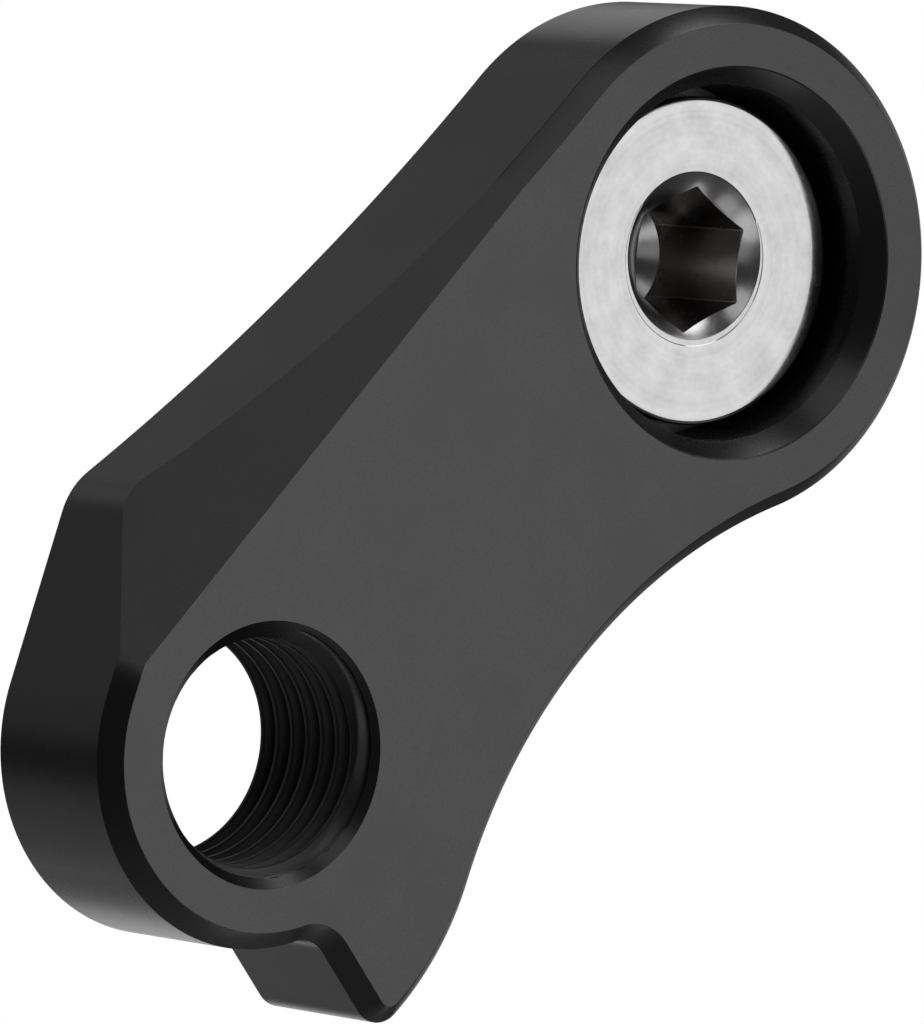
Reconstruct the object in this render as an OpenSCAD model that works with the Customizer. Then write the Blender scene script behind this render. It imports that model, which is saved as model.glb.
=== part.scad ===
// Derailleur hanger extender: a machined link that carries a rear derailleur lower down and
// further back, with the recessed bolt that fastens it to the hanger of the bicycle frame.
// Millimetres. The origin is on the bolt's axis, at the back face of the link, which seats
// on the hanger. The front face looks along -Y, and the bolt's thread points along +Y.

/* [Link] */
// Distance between the bolt's axis and the derailleur thread's axis
hole_spacing = 29; // [26:0.5:36]
// Rise of the line from the derailleur thread up to the bolt, in degrees
link_angle = 39; // [0:1:90]
// Thickness of the link
thickness = 7.4; // [7:0.1:10]
// Radius of the lobe round the derailleur thread
thread_lobe_r = 7.6; // [7:0.1:9]
// Radius of the lobe round the bolt
bolt_lobe_r = 10.2; // [9.6:0.1:12]

/* [Edges] */
// Width of the chamfers on the front face
chamfer_w = 0.7; // [0.4:0.05:0.9]
// Height of the chamfers down the walls
chamfer_h = 0.8; // [0.4:0.05:1]
// Slope of the wide bevel, in degrees from the front face
bevel_angle = 48; // [42:1:55]
// Distance from the bolt's axis to the front edge of the wide bevel
bevel_at_bolt = 9.65; // [9.2:0.05:11]

/* [Shoulder] */
// Rise of the straight side between the thread lobe and the shoulder, in degrees
shoulder_rise = 30.5; // [26:0.5:34]
// Radius of the rounded shoulder
shoulder_r = 3; // [1.5:0.5:5]
// Radius of the shallow hollow along the top side
top_hollow_r = 120; // [90:5:150]
// Lean of the line on which the top hollow leaves the bolt lobe, in degrees
top_hollow_lean = 5; // [4.5:0.1:5.5]

/* [Stop nose] */
// Distance of the nose's straight side from the derailleur thread's axis
nose_side = 2.1; // [1.5:0.1:3]
// Lean of the nose's straight side, in degrees
nose_lean = 4; // [0:0.5:8]
// Radius of the long arc under the nose
nose_arc_r = 12.5; // [12:0.1:14]
// Place of that arc's centre along the link, from the derailleur thread's axis
nose_arc_x = -2; // [-3:0.1:-1]
// Place of that arc's centre across the link
nose_arc_y = 0.2; // [-0.5:0.1:1]
// Radius of the nose's tip
nose_tip_r = 1.2; // [1:0.1:1.8]
// Radius of the fillet between the nose and the thread lobe
nose_fillet_r = 1.3; // [0.8:0.1:2]
// Radius of the hollow between the nose and the bolt lobe
belly_r = 23.3; // [20:0.5:30]

/* [Derailleur thread] */
// Minor diameter of the M10 x 1 thread
thread_bore_d = 8.92; // [8.6:0.02:9.1]
// Diameter of the countersink at the front of the thread
thread_mouth_d = 10.4; // [10:0.1:11]
// Width of the small chamfer at the back of the thread
thread_back_w = 0.2; // [0.1:0.05:0.5]

/* [Hanger bolt] */
// Diameter of the bolt's M10 x 1 thread
bolt_d = 10; // [9.8:0.1:10]
// Radial clearance of the bolt in the link
bolt_clearance = 0.1; // [0.05:0.05:0.3]
// Diameter of the plain neck between the head and the thread
neck_d = 8.7; // [8.2:0.1:9]
// Length of thread past the link's back face
bolt_reach = 9; // [6:0.5:12]
// Chamfer at the bolt's end
bolt_end_w = 0.8; // [0.4:0.1:1.2]
// Diameter of the bolt's head
head_d = 13.1; // [12.6:0.1:13.6]
// Height of the bolt's head
head_h = 2.6; // [2:0.1:3]
// Chamfer round the top of the head
head_edge_w = 0.25; // [0.1:0.05:0.5]
// Width across the flats of the hex socket
socket_af = 5.1; // [4:0.1:6.1]
// Depth of the hex socket
socket_depth = 5.6; // [3:0.1:7]
// Diameter of the countersink at the socket's mouth
socket_mouth_d = 6.66; // [6:0.02:7.2]
// Turn of the hex socket about the bolt's axis, in degrees
socket_turn = 22; // [0:1:60]
// Angle across the drilled point below the socket, in degrees
drill_point = 120; // [90:5:140]

/* [Recess for the bolt's head] */
// Thickness of the link under the bolt's head
seat_web = 2.4; // [2:0.1:3.5]
// Radial clearance round the bolt's head
head_clearance = 0.55; // [0.3:0.05:0.9]

/* [Hidden] */
$fn = 180;

// Straight lines and hollows run this far into the arcs that they touch, so that no two
// surfaces meet edge on edge.
seam = 0.003;
// The chamfered layer of the outline is sunk this far into the straight one below it.
sink = 0.01;
// Cuts run this far past the faces that they leave.
past = 1;

// The link is drawn flat, with the derailleur thread's axis at 0 and z up to the front face.
thread_at = [0, 0];
bolt_at = [hole_spacing, 0];
nose_arc_at = [nose_arc_x, nose_arc_y];

// Outward direction of the nose's straight side, and the direction down along it.
nose_out = [-cos(nose_lean), sin(nose_lean)];
nose_down = [-sin(nose_lean), -cos(nose_lean)];
// Outward direction of the straight side below the shoulder, and the direction up along it.
rise_out = [-sin(shoulder_rise), cos(shoulder_rise)];
rise_up = [cos(shoulder_rise), sin(shoulder_rise)];

// Centre of a circle of radius r on one side of the line between two others that it touches.
function meet(p, rp, q, rq, side) =
    let (d = norm(q - p), u = (q - p) / d, a = (d * d + rp * rp - rq * rq) / (2 * d))
    p + a * u + side * sqrt(rp * rp - a * a) * [-u[1], u[0]];
// Point of the line from p along u that lies at distance r from c.
function reach(p, u, c, r, side) =
    let (w = p - c, b = w * u)
    p + u * (side * sqrt(b * b - w * w + r * r) - b);

// Centres of the arcs of the outline.
belly_at = meet(nose_arc_at, nose_arc_r + belly_r - seam, bolt_at, bolt_lobe_r + belly_r - seam, -1);
top_hollow_out = [-sin(top_hollow_lean), cos(top_hollow_lean)];
top_hollow_at = bolt_at + (bolt_lobe_r + top_hollow_r - seam) * top_hollow_out;
shoulder_at = reach(
    rise_out * (thread_lobe_r - shoulder_r), rise_up,
    top_hollow_at, top_hollow_r + shoulder_r - seam, -1
);
nose_tip_at = reach(
    nose_out * (nose_side + seam - nose_tip_r), nose_down,
    nose_arc_at, nose_arc_r - nose_tip_r + seam, 1
);
nose_fillet_at = reach(
    nose_out * (nose_side + nose_fillet_r - seam), nose_down,
    thread_at, thread_lobe_r + nose_fillet_r - seam, 1
);

// The bevel's front edge touches the face of the thread lobe and passes the bolt at its own
// distance.
bevel_at_thread = thread_lobe_r - chamfer_w - seam;
bevel_turn = asin((bevel_at_bolt - bevel_at_thread) / hole_spacing);

thread_r = thread_bore_d / 2;
seat_r = head_d / 2 + head_clearance;

// The outline is made of these pieces. Each stands from z up by h, with its bottom edge set in
// by the foot and its top edge by the inset.

// An arc of the outline with the material inside it.
module lobe(at, r, z, h, foot, inset) {
    translate([at[0], at[1], z]) cylinder(h = h, r1 = r - foot, r2 = r - inset);
}

// A plain slab between points inside the outline.
module slab(points, z, h) {
    translate([0, 0, z]) linear_extrude(h) polygon(points);
}

// A slab between three points, with the place of a hollow arc taken out of it.
module web(points, at, r, z, h, foot, inset) {
    quarter = (inset - foot) / 4;
    difference() {
        slab(points, z, h);
        translate([at[0], at[1], z - h / 4])
            cylinder(h = 1.5 * h, r1 = r + foot - quarter, r2 = r + inset + quarter);
    }
}

// A straight side of the outline from p to q, with the material on its right to the given depth.
module side(p, q, depth, z, h, foot, inset) {
    along = q - p;
    translate([p[0], p[1], z])
        rotate(atan2(along[1], along[0]))
            rotate([90, 0, 90])
                linear_extrude(norm(along))
                    polygon([[-depth, 0], [-foot, 0], [-inset, h], [-depth, h]]);
}

// The whole outline.
module outline(z, h, foot, inset) {
    lobe(thread_at, thread_lobe_r, z, h, foot, inset);
    lobe(bolt_at, bolt_lobe_r, z, h, foot, inset);
    lobe(shoulder_at, shoulder_r, z, h, foot, inset);
    lobe(nose_tip_at, nose_tip_r, z, h, foot, inset);
    intersection() {
        lobe(nose_arc_at, nose_arc_r, z, h, foot, inset);
        slab([nose_arc_at, 2 * nose_tip_at - nose_arc_at, belly_at, bolt_at], z, h);
    }
    web([nose_arc_at, belly_at, bolt_at], belly_at, belly_r, z, h, foot, inset);
    web([bolt_at, top_hollow_at, shoulder_at], top_hollow_at, top_hollow_r, z, h, foot, inset);
    web(
        [thread_at, nose_fillet_at, nose_fillet_at - nose_out * (nose_side + nose_fillet_r)],
        nose_fillet_at, nose_fillet_r, z, h, foot, inset
    );
    slab([thread_at, bolt_at, shoulder_at], z, h);
    side(
        rise_out * (thread_lobe_r - seam),
        shoulder_at + rise_out * (shoulder_r - seam),
        thread_lobe_r, z, h, foot, inset
    );
    side(
        nose_tip_at + nose_out * (nose_tip_r - seam),
        nose_fillet_at - nose_out * nose_fillet_r - nose_down * nose_fillet_r,
        nose_side, z, h, foot, inset
    );
}

// What the wide bevel takes off: everything above a plane that falls away from its front edge.
module bevel_cut() {
    size = 2 * (hole_spacing + bolt_lobe_r + thread_lobe_r);
    rotate(bevel_turn)
        translate([-size / 2, bevel_at_thread, thickness])
            rotate([-bevel_angle, 0, 0])
                translate([0, -thickness, 0])
                    cube([size, size, size]);
}

// The countersink of a round hole at the front face, as steep as the chamfers.
module mouth(at, r, w) {
    steep = chamfer_h / chamfer_w;
    translate([at[0], at[1], thickness - w * steep])
        cylinder(h = (w + past) * steep, r1 = r, r2 = r + w + past);
}

module link_body() {
    back_r = thread_r + thread_back_w;
    color([0.09, 0.09, 0.1])
        rotate([90, 0, 0]) rotate(link_angle) translate([-hole_spacing, 0, 0])
            difference() {
                union() {
                    outline(0, thickness - chamfer_h, 0, 0);
                    outline(thickness - chamfer_h - sink, chamfer_h + sink, seam, chamfer_w);
                }
                bevel_cut();
                translate([0, 0, -past])
                    cylinder(h = thickness + 2 * past, r = thread_r);
                mouth(thread_at, thread_r, thread_mouth_d / 2 - thread_r);
                translate([0, 0, -past])
                    cylinder(h = past + thread_back_w, r1 = back_r + past, r2 = thread_r);
                translate([bolt_at[0], 0, -past])
                    cylinder(h = thickness, d = bolt_d + 2 * bolt_clearance);
                translate([bolt_at[0], 0, seat_web])
                    cylinder(h = thickness, r = seat_r);
                mouth(bolt_at, seat_r, chamfer_w);
            }
}

module hanger_bolt() {
    head_r = head_d / 2;
    shank_r = bolt_d / 2;
    neck_r = neck_d / 2;
    mouth_r = socket_mouth_d / 2;
    hex_r = socket_af / sqrt(3);
    top = seat_web + head_h;
    color([0.78, 0.78, 0.76])
        rotate([90, 0, 0])
            difference() {
                rotate_extrude()
                    polygon([
                        [0, -bolt_reach],
                        [shank_r - bolt_end_w, -bolt_reach],
                        [shank_r, bolt_end_w - bolt_reach],
                        [shank_r, 0],
                        [neck_r, shank_r - neck_r],
                        [neck_r, seat_web],
                        [head_r, seat_web],
                        [head_r, top - head_edge_w],
                        [head_r - head_edge_w, top],
                        [0, top]
                    ]);
                translate([0, 0, top - socket_depth])
                    rotate(socket_turn)
                        cylinder(h = socket_depth + past, r = hex_r, $fn = 6);
                translate([0, 0, top - mouth_r])
                    cylinder(h = mouth_r + past, r1 = 0, r2 = mouth_r + past);
                drill_h = socket_af / 2 / tan(drill_point / 2);
                translate([0, 0, top - socket_depth - drill_h])
                    cylinder(h = drill_h, r1 = 0, r2 = socket_af / 2);
            }
}

link_body();
hanger_bolt();
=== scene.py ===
"""Derailleur hanger extender, dressed for its portrait.

A black anodised link with a tapped hole at its lower end, and the recessed steel bolt at its
upper end that fastens it to the hanger of a bicycle frame.
"""

import math

import bmesh
import bpy
import numpy as np
from mathutils import Matrix, Vector


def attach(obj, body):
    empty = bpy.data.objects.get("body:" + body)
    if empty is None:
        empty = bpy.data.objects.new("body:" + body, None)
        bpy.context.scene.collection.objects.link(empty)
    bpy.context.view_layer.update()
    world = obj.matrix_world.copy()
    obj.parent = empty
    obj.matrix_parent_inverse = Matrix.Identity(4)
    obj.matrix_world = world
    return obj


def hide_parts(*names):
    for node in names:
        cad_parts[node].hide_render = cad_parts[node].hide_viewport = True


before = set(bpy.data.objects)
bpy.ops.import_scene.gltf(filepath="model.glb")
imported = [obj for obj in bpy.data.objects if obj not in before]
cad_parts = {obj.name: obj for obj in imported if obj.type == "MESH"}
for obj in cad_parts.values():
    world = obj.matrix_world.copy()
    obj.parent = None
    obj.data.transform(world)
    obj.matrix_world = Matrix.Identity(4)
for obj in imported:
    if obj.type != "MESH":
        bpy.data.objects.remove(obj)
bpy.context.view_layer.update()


# Camera. A long lens looks at the front of the part from the left, and from a little above
# its middle. It dips below the horizon and turns off the +Y axis by so many degrees.
CAMERA_AT = (-0.26063, -0.342117, 0.022751)
CAMERA_DIP = 4.4
CAMERA_TURN = -36.45
LENS = 376.5
SENSOR = 36.0
NEAR_CLIP = 0.02
FAR_CLIP = 20.0

camera_data = bpy.data.cameras.new("camera")
camera_data.sensor_width = SENSOR
camera_data.lens = LENS
camera_data.clip_start = NEAR_CLIP
camera_data.clip_end = FAR_CLIP
camera = bpy.data.objects.new("camera", camera_data)
camera.location = CAMERA_AT
camera.rotation_euler = (math.radians(90.0 - CAMERA_DIP), 0.0, math.radians(CAMERA_TURN))
bpy.context.scene.collection.objects.link(camera)
bpy.context.scene.camera = camera


# Link, body. It is milled from an aluminium plate round the outline of two lobes, a shoulder
# and a stop nose, with a chamfer round its front. The sizes of the pieces are millimetres, and
# a piece is scaled to metres when it is finished.
MM = 0.001
HOLE_SPACING = 29.0
LINK_ANGLE = 39.0
THICKNESS = 7.4
THREAD_LOBE_R = 7.6
BOLT_LOBE_R = 10.2
CHAMFER_W = 0.7
CHAMFER_H = 0.8
BEVEL_ANGLE = 48.0
BEVEL_AT_BOLT = 9.65
SHOULDER_RISE = 30.5
SHOULDER_R = 3.0
TOP_HOLLOW_R = 120.0
TOP_HOLLOW_LEAN = 5.0
NOSE_SIDE = 2.1
NOSE_LEAN = 4.0
NOSE_ARC_AT = (-2.0, 0.2)
NOSE_ARC_R = 12.5
NOSE_TIP_R = 1.2
NOSE_FILLET_R = 1.3
BELLY_R = 23.3
EDGE_BREAK = 0.02
OUTLINE_STEP = 0.2
OUTLINE_TURN = 4.0
SAME_POINT = 1e-6
CUT_NEAR = 1e-5
ROUND_SIDES = 192
RUN_ON = 1.0


def toward(degrees):
    """The unit vector at an angle."""
    angle = math.radians(degrees)
    return np.array([math.cos(angle), math.sin(angle)])


def bearing(start, end):
    """The angle of the direction from one point to another, in degrees."""
    return math.degrees(math.atan2(end[1] - start[1], end[0] - start[0]))


def meet(p, rp, q, rq):
    """The point right of the line from p to q that lies at rp from p and at rq from q."""
    d = np.linalg.norm(q - p)
    u = (q - p) / d
    a = (d * d + rp * rp - rq * rq) / (2.0 * d)
    return p + a * u - math.sqrt(rp * rp - a * a) * np.array([-u[1], u[0]])


def reach(p, u, c, r, side):
    """The point of the line from p along u that lies at distance r from c."""
    w = p - c
    b = float(w @ u)
    return p + u * (side * math.sqrt(b * b - float(w @ w) + r * r) - b)


def arc(centre, radius, start, end, hollow=False):
    """Rows of x, y and the outward normal along an arc, from one angle to another."""
    if hollow:
        sweep = -((start - end) % 360.0)
    else:
        sweep = (end - start) % 360.0
    steps = max(4, math.ceil(math.radians(abs(sweep)) * radius / OUTLINE_STEP))
    steps = max(steps, math.ceil(abs(sweep) / OUTLINE_TURN))
    rows = []
    for i in range(steps + 1):
        out = toward(start + sweep * i / steps)
        rows.append([*(centre + radius * out), *(-out if hollow else out)])
    return rows


def softened(profile, size, steps=3):
    """A profile with each inner corner rounded off, from this far before it to as far after."""
    points = [np.array(p, dtype=float) for p in profile]
    rounded = [points[0]]
    for before, corner, after in zip(points, points[1:], points[2:]):
        back = (before - corner) / np.linalg.norm(before - corner) * size
        ahead = (after - corner) / np.linalg.norm(after - corner) * size
        for i in range(steps + 1):
            t = i / steps
            rounded.append(corner + back * (1.0 - t) ** 2 + ahead * t * t)
    rounded.append(points[-1])
    return rounded


def stacked(name, rings):
    """A closed solid through rings that run counterclockwise and go up."""
    count = len(rings[0])
    faces = [list(range(count))[::-1]]
    for level in range(len(rings) - 1):
        low = level * count
        for i in range(count):
            j = (i + 1) % count
            faces.append([low + i, low + j, low + count + j, low + count + i])
    faces.append([(len(rings) - 1) * count + i for i in range(count)])
    mesh = bpy.data.meshes.new(name)
    mesh.from_pydata(np.vstack(rings).tolist(), [], faces)
    piece = bpy.data.objects.new(name, mesh)
    bpy.context.scene.collection.objects.link(piece)
    return piece


def turned(name, profile, centre=(0.0, 0.0)):
    """A solid of revolution about an upright axis, from its radii and heights."""
    angles = np.arange(ROUND_SIDES) * 2.0 * math.pi / ROUND_SIDES
    rings = []
    for radius, height in profile:
        rings.append(np.column_stack([
            centre[0] + radius * np.cos(angles),
            centre[1] + radius * np.sin(angles),
            np.full(ROUND_SIDES, height),
        ]))
    return stacked(name, rings)


def evaluated(piece):
    """What a piece's modifiers make of it, as a plain mesh."""
    graph = bpy.context.evaluated_depsgraph_get()
    return bpy.data.meshes.new_from_object(piece.evaluated_get(graph))


def worked(piece, tool, operation="DIFFERENCE"):
    """Takes the tool's shape off the piece, or adds it, and removes the tool."""
    step = piece.modifiers.new("step", "BOOLEAN")
    step.operation = operation
    step.solver = "MANIFOLD"
    step.object = tool
    mesh = evaluated(piece)
    piece.modifiers.clear()
    piece.data = mesh
    bpy.data.objects.remove(tool)


def sliced(piece, point, normal):
    """Cuts off what lies beyond a plane and closes the cut."""
    bm = bmesh.new()
    bm.from_mesh(piece.data)
    everything = bm.verts[:] + bm.edges[:] + bm.faces[:]
    bmesh.ops.bisect_plane(
        bm, geom=everything, dist=CUT_NEAR, plane_co=point, plane_no=normal,
        clear_outer=True
    )
    bmesh.ops.contextual_create(bm, geom=[edge for edge in bm.edges if edge.is_boundary])
    bmesh.ops.recalc_face_normals(bm, faces=bm.faces[:])
    bm.to_mesh(piece.data)
    bm.free()


thread_at = np.array([0.0, 0.0])
bolt_at = np.array([HOLE_SPACING, 0.0])
nose_arc_at = np.array(NOSE_ARC_AT)
nose_out = toward(180.0 - NOSE_LEAN)
nose_down = toward(270.0 - NOSE_LEAN)
belly_at = meet(nose_arc_at, NOSE_ARC_R + BELLY_R, bolt_at, BOLT_LOBE_R + BELLY_R)
top_hollow_at = bolt_at + (BOLT_LOBE_R + TOP_HOLLOW_R) * toward(90.0 + TOP_HOLLOW_LEAN)
shoulder_at = reach(
    (THREAD_LOBE_R - SHOULDER_R) * toward(90.0 + SHOULDER_RISE), toward(SHOULDER_RISE),
    top_hollow_at, TOP_HOLLOW_R + SHOULDER_R, -1
)
nose_tip_at = reach(
    nose_out * (NOSE_SIDE - NOSE_TIP_R), nose_down, nose_arc_at, NOSE_ARC_R - NOSE_TIP_R, 1
)
nose_fillet_at = reach(
    nose_out * (NOSE_SIDE + NOSE_FILLET_R), nose_down,
    thread_at, THREAD_LOBE_R + NOSE_FILLET_R, 1
)
outline = np.array(
    arc(bolt_at, BOLT_LOBE_R, bearing(bolt_at, belly_at), 90.0 + TOP_HOLLOW_LEAN)
    + arc(top_hollow_at, TOP_HOLLOW_R, TOP_HOLLOW_LEAN - 90.0,
          bearing(top_hollow_at, shoulder_at), hollow=True)
    + arc(shoulder_at, SHOULDER_R, bearing(shoulder_at, top_hollow_at), 90.0 + SHOULDER_RISE)
    + arc(thread_at, THREAD_LOBE_R, 90.0 + SHOULDER_RISE, bearing(thread_at, nose_fillet_at))
    + arc(nose_fillet_at, NOSE_FILLET_R, bearing(nose_fillet_at, thread_at), -NOSE_LEAN,
          hollow=True)
    + arc(nose_tip_at, NOSE_TIP_R, 180.0 - NOSE_LEAN, bearing(nose_arc_at, nose_tip_at))
    + arc(nose_arc_at, NOSE_ARC_R, bearing(nose_arc_at, nose_tip_at),
          bearing(nose_arc_at, belly_at))
    + arc(belly_at, BELLY_R, bearing(belly_at, nose_arc_at), bearing(belly_at, bolt_at),
          hollow=True)
)
gaps = np.linalg.norm(outline[:, :2] - np.roll(outline[:, :2], 1, axis=0), axis=1)
outline = outline[gaps > SAME_POINT]

# A profile's first and last points only lead its end corners in and out, and are dropped.
edge_profile = softened([
    (RUN_ON, 0.0),
    (0.0, 0.0),
    (0.0, THICKNESS - CHAMFER_H),
    (CHAMFER_W, THICKNESS),
    (RUN_ON, THICKNESS),
], EDGE_BREAK)[1:-1]
link = stacked("link", [
    np.column_stack([
        outline[:, :2] - inset * outline[:, 2:],
        np.full(len(outline), height),
    ])
    for inset, height in edge_profile
])


# Link, wide bevel. A cutter takes a plane off the upper side, from a straight line on the
# front face. The line touches the face of the lower lobe and passes the bolt at its own
# distance, and a second, flatter cut breaks the edge along it.
bevel_at_thread = THREAD_LOBE_R - CHAMFER_W
bevel_turn = math.degrees(math.asin((BEVEL_AT_BOLT - bevel_at_thread) / HOLE_SPACING))
bevel_out = toward(90.0 + bevel_turn)
for set_back, slope in ((0.0, BEVEL_ANGLE), (0.5 * EDGE_BREAK, 0.5 * BEVEL_ANGLE)):
    front_edge = bevel_out * (bevel_at_thread - set_back)
    tilt = toward(90.0 - slope)
    sliced(
        link,
        (front_edge[0], front_edge[1], THICKNESS),
        (tilt[0] * bevel_out[0], tilt[0] * bevel_out[1], tilt[1]),
    )


# Link, recess. The bolt's head sits in a counterbore with a chamfered rim, and its shank
# passes through a plain hole.
BOLT_HOLE_R = 5.1
RECESS_R = 7.1
SEAT_WEB = 2.4
RIM_BREAK = 0.04
RECESS_BREAK = 0.01

rim_out = toward(0.5 * math.degrees(math.atan2(CHAMFER_H, CHAMFER_W)))
rim_end = np.array([
    RECESS_R + (1.0 - RIM_BREAK) * CHAMFER_W,
    THICKNESS - RIM_BREAK * CHAMFER_H,
])
recess_profile = (
    [(BOLT_HOLE_R + EDGE_BREAK + RUN_ON, -RUN_ON)]
    + softened([
        (BOLT_HOLE_R + EDGE_BREAK, 0.0),
        (BOLT_HOLE_R, EDGE_BREAK),
        (BOLT_HOLE_R, SEAT_WEB - EDGE_BREAK),
        (BOLT_HOLE_R + EDGE_BREAK, SEAT_WEB),
        (RECESS_R, SEAT_WEB),
        (RECESS_R, THICKNESS - CHAMFER_H),
        rim_end,
    ], RECESS_BREAK)
    + [rim_end + 2.0 * RUN_ON * rim_out]
)
worked(link, turned("recess_cutter", recess_profile, bolt_at))


# Threads. The M10 fine thread is a ridge of sixty degrees that climbs one millimetre a turn,
# so one tree of nodes makes both the tap that cuts it and the bolt's own shank.
PITCH = 1.0
MAJOR_R = 5.0
CREST_FLAT = PITCH / 8.0
FLANK_RISE = math.sqrt(3.0)


class Wire:
    """A node's output that takes part in Python expressions."""

    def __init__(self, sheet, socket):
        self.sheet = sheet
        self.socket = socket

    def __getitem__(self, output):
        return Wire(self.sheet, self.socket.node.outputs[output])

    def math(self, operation, *others):
        """A Math node with this wire as its first value."""
        return self.sheet.math(operation, self, *others)

    def __add__(self, other):
        return self.math("ADD", other)

    def __radd__(self, other):
        return self.sheet.math("ADD", other, self)

    def __sub__(self, other):
        return self.math("SUBTRACT", other)

    def __rsub__(self, other):
        return self.sheet.math("SUBTRACT", other, self)

    def __mul__(self, other):
        return self.math("MULTIPLY", other)

    def __rmul__(self, other):
        return self.sheet.math("MULTIPLY", other, self)

    def __truediv__(self, other):
        return self.math("DIVIDE", other)

    def __rtruediv__(self, other):
        return self.sheet.math("DIVIDE", other, self)

    def __lt__(self, other):
        return self.math("LESS_THAN", other)

    def __gt__(self, other):
        return self.math("GREATER_THAN", other)

    def most(self, other):
        """The larger of two."""
        return self.math("MAXIMUM", other)


class Sheet:
    """A node tree, with one method that adds any node."""

    def __init__(self, tree):
        self.tree = tree

    def add(self, kind, settings=None, inputs=None):
        """A node with its settings, then its inputs, as its first output."""
        node = self.tree.nodes.new(kind)
        for name, value in (settings or {}).items():
            setattr(node, name, value)
        self.feed(node, inputs or {})
        return Wire(self, node.outputs[0] if node.outputs else None)

    def feed(self, node, inputs):
        """Fills a node's inputs, by name or number, from wires and plain values."""
        for name, value in inputs.items():
            if isinstance(value, Wire):
                self.tree.links.new(value.socket, node.inputs[name])
            else:
                node.inputs[name].default_value = value

    def math(self, operation, *values):
        """A Math node on wires and numbers."""
        return self.add("ShaderNodeMath", {"operation": operation}, dict(enumerate(values)))

    def mix(self, share, first, second):
        """A colour between two others: a Mix node's inputs 6 and 7, and its output 2."""
        mixed = self.add("ShaderNodeMix", {"data_type": "RGBA"}, {
            0: share, 6: first, 7: second
        })
        return mixed[2]


def thread_tree():
    """A closed threaded rod about the z axis, between a lower and an upper cone."""
    tree = bpy.data.node_groups.new("threaded_rod", "GeometryNodeTree")
    tree.interface.new_socket("Geometry", in_out="OUTPUT", socket_type="NodeSocketGeometry")
    kinds = {
        "Segments": "NodeSocketInt",
        "Levels": "NodeSocketInt",
        "Metal": "NodeSocketMaterial",
    }
    names = (
        "Segments", "Levels", "Bottom", "Top", "Pitch", "Start", "Outer Radius", "Inner Radius",
        "Outer Flat", "Softness", "Sense", "Low Radius", "Low Slope", "High Radius",
        "High Slope", "Metal"
    )
    for name in names:
        kind = kinds.get(name, "NodeSocketFloat")
        tree.interface.new_socket(name, in_out="INPUT", socket_type=kind)
    sheet = Sheet(tree)
    given = sheet.add("NodeGroupInput")
    rod = sheet.add("GeometryNodeMeshCylinder", {"fill_type": "NGON"}, {
        "Vertices": given["Segments"],
        "Side Segments": given["Levels"],
        "Radius": 1.0,
        "Depth": given["Top"] - given["Bottom"],
    })
    place = sheet.add("ShaderNodeSeparateXYZ", None, {
        0: sheet.add("GeometryNodeInputPosition")
    })
    x = place["X"]
    y = place["Y"]
    height = place["Z"] + 0.5 * (given["Top"] + given["Bottom"])
    turn = y.math("ARCTAN2", x) / (2.0 * math.pi)
    phase = (height / given["Pitch"] - turn - given["Start"]).math("FRACT")
    off_crest = (phase - 0.5).math("ABSOLUTE") * given["Pitch"]
    flank = (0.5 * given["Outer Flat"] - off_crest) * FLANK_RISE + given["Outer Radius"]
    ridge = flank.math("SMOOTH_MIN", given["Outer Radius"], given["Softness"])
    ridge = ridge.math("SMOOTH_MAX", given["Inner Radius"], given["Softness"])
    low = given["Low Radius"] + (height - given["Bottom"]) * given["Low Slope"]
    high = given["High Radius"] + (given["Top"] - height) * given["High Slope"]
    # A sense of 1 keeps the larger of ridge and cones, and -1 the smaller.
    sense = given["Sense"]
    radius = (ridge * sense).most(low * sense).most(high * sense) * sense
    moved = sheet.add("GeometryNodeSetPosition", None, {
        "Geometry": rod,
        "Position": sheet.add("ShaderNodeCombineXYZ", None, {
            "X": x * radius,
            "Y": y * radius,
            "Z": height,
        }),
    })
    real = sheet.add("GeometryNodeRealizeInstances", None, {"Geometry": moved})
    painted = sheet.add("GeometryNodeSetMaterial", None, {
        "Geometry": real, "Material": given["Metal"]
    })
    sheet.add("NodeGroupOutput", None, {"Geometry": painted})
    return tree


def threaded(name, tree, sizes):
    """The tree's rod as a plain solid, with its inputs set by their sockets' identifiers."""
    piece = bpy.data.objects.new(name, bpy.data.meshes.new(name))
    maker = piece.modifiers.new("thread", "NODES")
    maker.node_group = tree
    for item in tree.interface.items_tree:
        if item.in_out == "INPUT":
            maker[item.identifier] = sizes[item.name]
    bpy.context.scene.collection.objects.link(piece)
    mesh = evaluated(piece)
    piece.modifiers.clear()
    piece.data = mesh
    return piece


# Anodised finish. The link is black, satin and faintly clouded, over a fine blasted grain.
# In its tapped hole the black is duller, and a little brown.
BLACK_DEEP = (0.0070, 0.0068, 0.0066, 1.0)
BLACK_PALE = (0.0110, 0.0108, 0.0106, 1.0)
BORE_BROWN = (0.0120, 0.0100, 0.0085, 1.0)
BORE_CLEAR = 0.03
BORE_DULL = 0.28
SATIN = 0.28
SATIN_CLOUD = 0.05
SATIN_GRAIN = 0.06
CLOUD_SHARE = 0.7
BLACK_CLOUDS = 0.35
BLACK_GRAINS = 9.0
GRAIN_HEIGHT = 0.004
GRAIN_STRENGTH = 0.22
ANODISED_IOR = 1.68


def finish_of(name):
    """A new material with its sheet of nodes and its shader."""
    material = bpy.data.materials.new(name)
    material.use_nodes = True
    shader = material.node_tree.nodes["Principled BSDF"]
    return material, Sheet(material.node_tree), shader


def noise(sheet, place, per_mm, detail=2.0, rough=0.5):
    """Three-dimensional noise with this many features a millimetre."""
    return sheet.add("ShaderNodeTexNoise", None, {
        "Vector": place, "Scale": per_mm / MM, "Detail": detail, "Roughness": rough
    })


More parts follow.
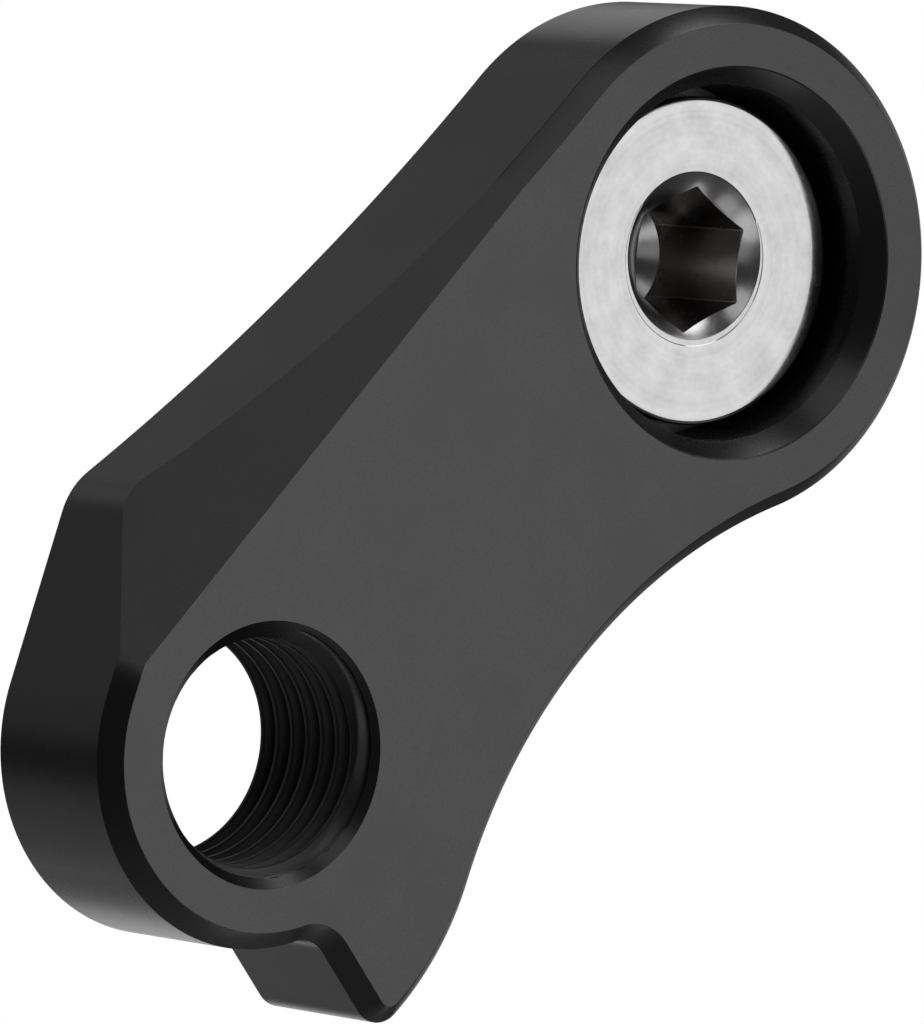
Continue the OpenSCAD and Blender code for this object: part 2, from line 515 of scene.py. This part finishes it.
def off_axis(sheet, place, x, z):
    """Distance in millimetres from the line along Y at x and z."""
    apart = sheet.add("ShaderNodeSeparateXYZ", None, {0: place})
    across = apart["X"] / MM - x
    up = apart["Z"] / MM - z
    return (across * across + up * up).math("SQRT")


def below(sheet, place, height):
    """Depth in millimetres under the plane that stands this far in front of the link's back."""
    return height + sheet.add("ShaderNodeSeparateXYZ", None, {0: place})["Y"] / MM


anodised, sheet, shader = finish_of("anodised_black")
place = sheet.add("ShaderNodeTexCoord")["Object"]
from_tapping = off_axis(sheet, place, *(-HOLE_SPACING * toward(LINK_ANGLE)))
in_bore = (from_tapping < MAJOR_R + BORE_CLEAR) * (below(sheet, place, THICKNESS) > CHAMFER_H)
cloud = noise(sheet, place, BLACK_CLOUDS, 3.0)
grain = noise(sheet, place, BLACK_GRAINS, 2.0, 0.6)
tone = cloud * CLOUD_SHARE + grain * (1.0 - CLOUD_SHARE)
satin = SATIN + (cloud - 0.5) * SATIN_CLOUD + (grain - 0.5) * SATIN_GRAIN
sheet.feed(shader, {
    "Base Color": sheet.mix(in_bore, sheet.mix(tone, BLACK_DEEP, BLACK_PALE), BORE_BROWN),
    "Roughness": satin + BORE_DULL * in_bore,
    "IOR": ANODISED_IOR,
    "Normal": sheet.add("ShaderNodeBump", None, {
        "Strength": GRAIN_STRENGTH, "Distance": GRAIN_HEIGHT * MM, "Height": grain
    }),
})


# Link, tapped hole. The derailleur's own bolt screws into it from the front, through a
# countersink, and the thread has a small chamfer at the back.
BORE_R = 4.46
COUNTERSINK_R = 5.2
BACK_CHAMFER = 0.2
TAP_START = 0.608
TAP_LEVELS = 300
TAP_SOFTNESS = 0.16
TAP_PAST = 0.6

rod_tree = thread_tree()
tap = threaded("tap", rod_tree, {
    "Segments": ROUND_SIDES,
    "Levels": TAP_LEVELS,
    "Bottom": -TAP_PAST,
    "Top": THICKNESS + TAP_PAST,
    "Pitch": PITCH,
    "Start": TAP_START,
    "Outer Radius": MAJOR_R,
    "Inner Radius": BORE_R,
    "Outer Flat": CREST_FLAT,
    "Softness": TAP_SOFTNESS,
    "Sense": 1.0,
    "Low Radius": BORE_R + BACK_CHAMFER + TAP_PAST,
    "Low Slope": -1.0,
    "High Radius": COUNTERSINK_R + TAP_PAST * CHAMFER_W / CHAMFER_H,
    "High Slope": -CHAMFER_W / CHAMFER_H,
    "Metal": anodised,
})
worked(link, tap)


# Link, placing. The finished link is turned to stand as it does on the bicycle. Its slivers
# are welded away, and its flat faces keep their own normals beside the broken edges.
UPRIGHT = Matrix.Rotation(math.radians(90.0), 4, "X")
WELD = 0.001
HARD_EDGE = 24.0


def finished(piece, placing, material):
    """Welds a piece, puts it in its place in metres and shades it, with its hard edges."""
    bm = bmesh.new()
    bm.from_mesh(piece.data)
    bmesh.ops.remove_doubles(bm, verts=bm.verts[:], dist=WELD)
    bmesh.ops.dissolve_degenerate(bm, edges=bm.edges[:], dist=WELD)
    bm.to_mesh(piece.data)
    bm.free()
    piece.data.transform(placing)
    piece.data.materials.clear()
    piece.data.materials.append(material)
    piece.data.polygons.foreach_set("material_index", [0] * len(piece.data.polygons))
    piece.data.shade_smooth()
    piece.data.set_sharp_from_angle(angle=math.radians(HARD_EDGE))
    weigh = piece.modifiers.new("weigh", "WEIGHTED_NORMAL")
    weigh.keep_sharp = True
    weigh.weight = 100
    piece.data = evaluated(piece)
    piece.modifiers.clear()
    piece.data.name = piece.name


link_placing = (
    Matrix.Scale(MM, 4) @ UPRIGHT @ Matrix.Rotation(math.radians(LINK_ANGLE), 4, "Z")
    @ Matrix.Translation((-HOLE_SPACING, 0.0, 0.0))
)
finished(link, link_placing, anodised)
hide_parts("link_body")
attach(link, "root")


# Bolt, shank and head. It is cold-formed stainless steel, with a flat round head, a plain
# neck and a rolled thread. The shank's upper cone ends inside the neck.
HEAD_R = 6.55
HEAD_TOP = SEAT_WEB + 2.6
HEAD_EDGE = 0.2
UNDER_EDGE = 0.15
UNDER_BREAK = 0.05
NECK_R = 4.35
NECK_FOOT = 0.3
NECK_LEAD_W = 0.02
NECK_LEAD_H = 0.1
SHANK_TOP = 0.9
BOLT_REACH = 9.0
BOLT_END = 0.8
ROOT_R = 4.39
BOLT_START = 0.25
BOLT_LEVELS = 320
BOLT_SOFTNESS = 0.10

steel, sheet, shader = finish_of("stainless_steel")
bolt = threaded("bolt", rod_tree, {
    "Segments": ROUND_SIDES,
    "Levels": BOLT_LEVELS,
    "Bottom": -BOLT_REACH,
    "Top": SHANK_TOP,
    "Pitch": PITCH,
    "Start": BOLT_START,
    "Outer Radius": MAJOR_R,
    "Inner Radius": ROOT_R,
    "Outer Flat": CREST_FLAT,
    "Softness": BOLT_SOFTNESS,
    "Sense": -1.0,
    "Low Radius": MAJOR_R - BOLT_END,
    "Low Slope": 1.0,
    "High Radius": MAJOR_R - SHANK_TOP,
    "High Slope": 1.0,
    "Metal": steel,
})
head_profile = (
    [
        (NECK_R - NECK_LEAD_W, NECK_FOOT),
        (NECK_R, NECK_FOOT + NECK_LEAD_H),
        (NECK_R, SEAT_WEB),
    ]
    + softened([
        (NECK_R, SEAT_WEB),
        (HEAD_R - UNDER_EDGE, SEAT_WEB),
        (HEAD_R, SEAT_WEB + UNDER_EDGE),
        (HEAD_R, HEAD_TOP),
    ], UNDER_BREAK)[1:-1]
    + softened([(HEAD_R, SEAT_WEB), (HEAD_R, HEAD_TOP), (0.0, HEAD_TOP)], HEAD_EDGE, 8)[1:-1]
)
worked(bolt, turned("head", head_profile), "UNION")


# Bolt, socket. A drill starts the hex socket, a countersink opens its mouth and a shallow
# land runs round that. All of it lies a little off the head's middle.
LAND_R = 3.47
LAND_DEPTH = 0.02
LAND_WALL = 0.035
LAND_SHIFT = (-0.12, 0.06)
SOCKET_MOUTH_R = 3.34
MOUTH_SLOPE = 30.0
MOUTH_WALL = 0.03
MOUTH_RISE = 0.3
MOUTH_TIP_R = 0.01
MOUTH_SHIFT = (-0.10, 0.19)
SOCKET_AF = 5.1
SOCKET_DEPTH = 5.6
SOCKET_TURN = 22.0
SOCKET_CORNER_R = 0.1
SOCKET_SHIFT = (-0.13, 0.05)
DRILL_POINT = 120.0
DRILL_CLEAR = 0.01
DRILL_TIP_R = 0.10
DRILL_LAP = 0.5

land = HEAD_TOP - LAND_DEPTH
worked(bolt, turned("land_cutter", [
    (LAND_R - LAND_WALL, land),
    (LAND_R, HEAD_TOP),
    (LAND_R + RUN_ON, HEAD_TOP + RUN_ON * LAND_DEPTH / LAND_WALL),
], LAND_SHIFT))

mouth_slope = math.tan(math.radians(MOUTH_SLOPE))
worked(bolt, turned("mouth_cutter", [
    (MOUTH_TIP_R, land - (SOCKET_MOUTH_R - MOUTH_TIP_R) * mouth_slope),
    (SOCKET_MOUTH_R - MOUTH_WALL, land - MOUTH_WALL * mouth_slope),
    (SOCKET_MOUTH_R + RUN_ON, land + MOUTH_RISE),
], MOUTH_SHIFT))

socket_floor = HEAD_TOP - SOCKET_DEPTH
corner_reach = SOCKET_AF / math.sqrt(3.0) - SOCKET_CORNER_R / math.cos(math.radians(30.0))
hex_outline = []
for corner in range(6):
    at = SOCKET_TURN + 60.0 * corner
    for step in range(4):
        out = toward(at - 30.0 + 20.0 * step)
        hex_outline.append(SOCKET_SHIFT + corner_reach * toward(at) + SOCKET_CORNER_R * out)
worked(bolt, stacked("hex_cutter", [
    np.column_stack([hex_outline, np.full(len(hex_outline), height)])
    for height in (socket_floor, HEAD_TOP + RUN_ON)
]))

drill_r = 0.5 * SOCKET_AF - DRILL_CLEAR
drill_h = drill_r / math.tan(math.radians(0.5 * DRILL_POINT))
worked(bolt, turned("drill_cutter", [
    (DRILL_TIP_R, socket_floor - drill_h),
    (drill_r, socket_floor),
    (drill_r, socket_floor + DRILL_LAP),
], SOCKET_SHIFT))


# Bolt, finish. The steel is bright but not polished: clouded, with faint turned rings on the
# head and a dull grain. The socket is rougher, and its walls carry a darker, brown painted
# shade.
STEEL_DEEP = (0.38, 0.38, 0.38, 1.0)
STEEL_PALE = (0.54, 0.54, 0.54, 1.0)
WALL_SHADE_BROWN = (0.29, 0.27, 0.26, 1.0)
BRIGHT = 0.12
BRIGHT_CLOUD = 0.08
BRIGHT_GRAIN = 0.04
SOCKET_DULL = 0.07
STEEL_RINGS = 2.2
STEEL_CLOUDS = 0.8
STEEL_GRAINS = 5.0
DENT_HEIGHT = 0.010
DENT_STRENGTH = 0.3
MOUTH_CLEAR = 0.3
LAND_CLEAR = 0.01
WALL_R = 3.05
WALL_TOP = 0.5
WALL_FOOT = 0.05

place = sheet.add("ShaderNodeTexCoord")["Object"]
from_axis = off_axis(sheet, place, 0.0, 0.0)
deep = below(sheet, place, HEAD_TOP)
rings = sheet.add("ShaderNodeTexNoise", {"noise_dimensions": "1D"}, {
    "W": from_axis, "Scale": STEEL_RINGS, "Detail": 2.0, "Roughness": 0.6
})
cloud = noise(sheet, place, STEEL_CLOUDS, 3.0, 0.6)
grain = noise(sheet, place, STEEL_GRAINS, 2.0, 0.5)
tone = 0.5 + (cloud - 0.5) * 1.6 + (grain - 0.5) * 0.4 + (rings - 0.5) * 0.6
bright = BRIGHT + (cloud - 0.5) * BRIGHT_CLOUD + (grain - 0.5) * BRIGHT_GRAIN
hollow = (from_axis < SOCKET_MOUTH_R + MOUTH_CLEAR) * (deep > LAND_DEPTH + LAND_CLEAR)
# Painted shade: between the mouth and the floor, the socket's walls get a darker, brown steel.
shaded_walls = hollow * (from_axis < WALL_R) * (deep > WALL_TOP) * (deep < SOCKET_DEPTH - WALL_FOOT)
sheet.feed(shader, {
    "Base Color": sheet.mix(shaded_walls, sheet.mix(tone, STEEL_DEEP, STEEL_PALE), WALL_SHADE_BROWN),
    "Metallic": 1.0,
    "Roughness": bright + SOCKET_DULL * hollow + SOCKET_DULL * shaded_walls,
    "Normal": sheet.add("ShaderNodeBump", None, {
        "Strength": DENT_STRENGTH,
        "Distance": DENT_HEIGHT * MM,
        "Height": rings * 0.5 + cloud * 0.9,
    }),
})

finished(bolt, Matrix.Scale(MM, 4) @ UPRIGHT, steel)
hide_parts("hanger_bolt")
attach(bolt, "root")


# Studio. The part hangs high above a pale floor, in a dim room that is white to the camera,
# between soft round lamps. Each lamp has its bearing from the +Y axis towards +X and its
# elevation in degrees, its width in metres and its radiance.
FLOOR_Z = -0.55
FLOOR_R = 1.5
FLOOR_SIDES = 96
FLOOR_LIFT = 0.96
ROOM_LEVEL = 0.03
ROOM_SHINE = 0.02
WHITE = (1.0, 1.0, 1.0, 1.0)
PALE = (0.8, 0.8, 0.8, 1.0)
PART_CENTRE = Vector((-0.010, -0.003, -0.009))
LAMP_DISTANCE = 0.5
LAMPS = (
    ("key", 149.0, -4.0, 0.26, 1.36),
    ("sky", -150.0, 60.0, 0.30, 0.55),
    ("face", 180.0, 30.0, 0.20, 0.75),
    ("front", 126.0, 53.0, 0.30, 2.10),
    ("left", -170.0, -20.0, 0.20, 0.90),
    ("under", 180.0, -43.0, 0.20, 0.50),
    ("back", 40.0, 31.0, 0.30, 0.56),
    ("far", -4.0, 31.0, 0.30, 0.25),
    ("wall", -30.0, 20.0, 0.40, 0.15),
    ("low", 4.0, -35.0, 0.20, 0.24),
    ("nose", -20.0, -25.0, 0.30, 0.24),
    ("rim", 30.0, -22.0, 0.30, 0.83),
    ("bounce", 126.0, -60.0, 0.30, 0.60),
    ("fill", 135.0, 22.0, 0.25, 0.60),
    ("near", -150.0, -22.0, 0.20, 0.22),
    ("side", 57.0, -2.0, 0.35, 0.22),
    ("right low", 85.0, -14.5, 0.14, 1.40),
    ("right high", 88.0, 9.5, 0.14, 1.40),
    ("beside", -158.0, -3.0, 0.15, 0.30),
)

bm = bmesh.new()
bmesh.ops.create_circle(
    bm, cap_ends=True, segments=FLOOR_SIDES, radius=FLOOR_R,
    matrix=Matrix.Translation((0.0, 0.0, FLOOR_Z))
)
floor_mesh = bpy.data.meshes.new("floor")
bm.to_mesh(floor_mesh)
bm.free()
floor = bpy.data.objects.new("floor", floor_mesh)
bpy.context.scene.collection.objects.link(floor)
pale, sheet, shader = finish_of("pale_floor")
rays = sheet.add("ShaderNodeLightPath")
seen = rays["Is Camera Ray"].most(rays["Is Transmission Ray"])
sheet.feed(shader, {
    "Base Color": PALE,
    "Roughness": 0.9,
    "Emission Color": WHITE,
    "Emission Strength": FLOOR_LIFT * seen + ROOM_SHINE * rays["Is Glossy Ray"],
})
floor_mesh.materials.append(pale)

for name, azimuth, elevation, width, radiance in LAMPS:
    aim = (
        Matrix.Rotation(math.radians(-azimuth), 4, "Z")
        @ Matrix.Rotation(math.radians(elevation), 4, "X")
    )
    lamp_data = bpy.data.lights.new(name, "AREA")
    lamp_data.shape = "DISK"
    lamp_data.size = width
    # A round lamp's power is pi times its radiance times its area.
    lamp_data.energy = radiance * math.pi * math.pi * (0.5 * width) ** 2
    lamp = bpy.data.objects.new(name, lamp_data)
    lamp.matrix_world = (
        Matrix.Translation(PART_CENTRE) @ aim
        @ Matrix.Translation((0.0, LAMP_DISTANCE, 0.0))
        @ Matrix.Rotation(math.radians(-90.0), 4, "X")
    )
    lamp.visible_camera = False
    bpy.context.scene.collection.objects.link(lamp)

world = bpy.data.worlds.new("room")
world.use_nodes = True
bpy.context.scene.world = world
sheet = Sheet(world.node_tree)
world.node_tree.nodes.clear()
rays = sheet.add("ShaderNodeLightPath")
seen = rays["Is Camera Ray"].most(rays["Is Transmission Ray"])
level = ROOM_LEVEL + (1.0 - ROOM_LEVEL) * seen + ROOM_SHINE * rays["Is Glossy Ray"]
room = sheet.add("ShaderNodeBackground", None, {
    "Color": WHITE, "Strength": level
})
sheet.add("ShaderNodeOutputWorld", None, {"Surface": room})

bpy.context.scene.view_settings.view_transform = "Standard"
